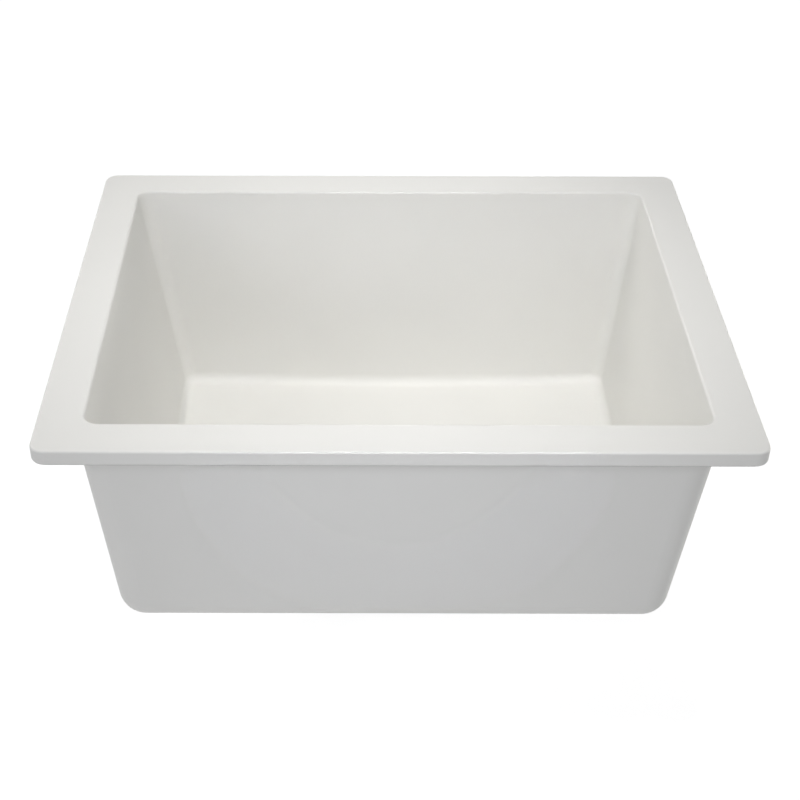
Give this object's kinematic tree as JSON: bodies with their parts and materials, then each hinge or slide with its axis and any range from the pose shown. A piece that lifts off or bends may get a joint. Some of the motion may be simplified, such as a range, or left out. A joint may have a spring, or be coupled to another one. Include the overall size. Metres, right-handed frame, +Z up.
{
  "type": "bar prep sink",
  "caption": "Rectangular single-bowl drop-in prep sink in matte white stone composite, with a flat rim, tapered walls, a basket strainer, a tailpiece and swing-out mounting clips.",
  "frame": {"origin": "middle of the worktop's cut-out, on the worktop's surface, which is the underside of the rim seal", "axes": "+X to the right along the long side, +Y to the back, +Z up out of the bowl"},
  "size_m": [0.5112, 0.4096, 0.32],
  "materials": {
    "composite": "matte",
    "foam": "matte",
    "stainless": "satin",
    "putty": "matte",
    "black_rubber": "matte",
    "fibre": "matte",
    "cast_zinc": "matte",
    "chrome": "polished",
    "spring_steel": "satin",
    "white_washer": "matte",
    "zinc_plated": "satin",
    "brass": "satin"
  },
  "bodies": {
    "basin": {"sink_bowl": "composite", "rim_seal": "foam", "strainer_body": "stainless", "flange_seal": "putty", "under_gasket": "black_rubber", "friction_ring": "fibre", "strainer_locknut": "cast_zinc", "outlet_cross": "stainless", "tailpiece_washer": "white_washer", "coupling_nut": "chrome", "tailpiece": "chrome", "clip_rivets": "zinc_plated", "bracket_screws": "stainless", "wall_inserts": "brass", "clip_bracket_left_front": "cast_zinc", "clip_bracket_left_rear": "cast_zinc", "clip_bracket_right_front": "cast_zinc", "clip_bracket_right_rear": "cast_zinc"},
    "basket": {"basket_cup": "stainless", "basket_post": "stainless", "post_catch": "spring_steel", "basket_knob": "chrome", "stopper_disc": "black_rubber"},
    "arm_left_front": {"clip_arm_left_front": "cast_zinc"},
    "foot_left_front": {"clip_foot_left_front": "zinc_plated"},
    "screw_left_front": {"clip_screw_left_front": "zinc_plated"},
    "arm_left_rear": {"clip_arm_left_rear": "cast_zinc"},
    "foot_left_rear": {"clip_foot_left_rear": "zinc_plated"},
    "screw_left_rear": {"clip_screw_left_rear": "zinc_plated"},
    "arm_right_front": {"clip_arm_right_front": "cast_zinc"},
    "foot_right_front": {"clip_foot_right_front": "zinc_plated"},
    "screw_right_front": {"clip_screw_right_front": "zinc_plated"},
    "arm_right_rear": {"clip_arm_right_rear": "cast_zinc"},
    "foot_right_rear": {"clip_foot_right_rear": "zinc_plated"},
    "screw_right_rear": {"clip_screw_right_rear": "zinc_plated"}
  },
  "joints": [
    {"name": "basket_lift", "type": "slide", "parent": "basin", "child": "basket", "axis": [0, 0, 1], "range_m": [0, 0.12]},
    {"name": "arm_swing_left_front", "type": "hinge", "parent": "basin", "child": "arm_left_front", "pos_m": [-0.2357, -0.118, -0.0505], "axis": [0, 0, 1], "range_deg": [0, 90]},
    {"name": "foot_lift_left_front", "type": "slide", "parent": "arm_left_front", "child": "foot_left_front", "axis": [0, 0, 1], "range_m": [0, 0.022]},
    {"name": "screw_turn_left_front", "type": "hinge", "parent": "foot_left_front", "child": "screw_left_front", "pos_m": [-0.2357, -0.092, -0.06], "axis": [0, 0, 1], "range_deg": [0, 9900]},
    {"name": "arm_swing_left_rear", "type": "hinge", "parent": "basin", "child": "arm_left_rear", "pos_m": [-0.2357, 0.118, -0.0505], "axis": [0, 0, -1], "range_deg": [0, 90]},
    {"name": "foot_lift_left_rear", "type": "slide", "parent": "arm_left_rear", "child": "foot_left_rear", "axis": [0, 0, 1], "range_m": [0, 0.022]},
    {"name": "screw_turn_left_rear", "type": "hinge", "parent": "foot_left_rear", "child": "screw_left_rear", "pos_m": [-0.2357, 0.092, -0.06], "axis": [0, 0, 1], "range_deg": [0, 9900]},
    {"name": "arm_swing_right_front", "type": "hinge", "parent": "basin", "child": "arm_right_front", "pos_m": [0.2357, -0.118, -0.0505], "axis": [0, 0, -1], "range_deg": [0, 90]},
    {"name": "foot_lift_right_front", "type": "slide", "parent": "arm_right_front", "child": "foot_right_front", "axis": [0, 0, 1], "range_m": [0, 0.022]},
    {"name": "screw_turn_right_front", "type": "hinge", "parent": "foot_right_front", "child": "screw_right_front", "pos_m": [0.2357, -0.092, -0.06], "axis": [0, 0, 1], "range_deg": [0, 9900]},
    {"name": "arm_swing_right_rear", "type": "hinge", "parent": "basin", "child": "arm_right_rear", "pos_m": [0.2357, 0.118, -0.0505], "axis": [0, 0, 1], "range_deg": [0, 90]},
    {"name": "foot_lift_right_rear", "type": "slide", "parent": "arm_right_rear", "child": "foot_right_rear", "axis": [0, 0, 1], "range_m": [0, 0.022]},
    {"name": "screw_turn_right_rear", "type": "hinge", "parent": "foot_right_rear", "child": "screw_right_rear", "pos_m": [0.2357, 0.092, -0.06], "axis": [0, 0, 1], "range_deg": [0, 9900]}
  ],
  "couplings": [
    {"joint": "screw_turn_left_front", "follows": "foot_lift_left_front", "rad_per_m": 7854},
    {"joint": "screw_turn_left_rear", "follows": "foot_lift_left_rear", "rad_per_m": 7854},
    {"joint": "screw_turn_right_front", "follows": "foot_lift_right_front", "rad_per_m": 7854},
    {"joint": "screw_turn_right_rear", "follows": "foot_lift_right_rear", "rad_per_m": 7854}
  ]
}
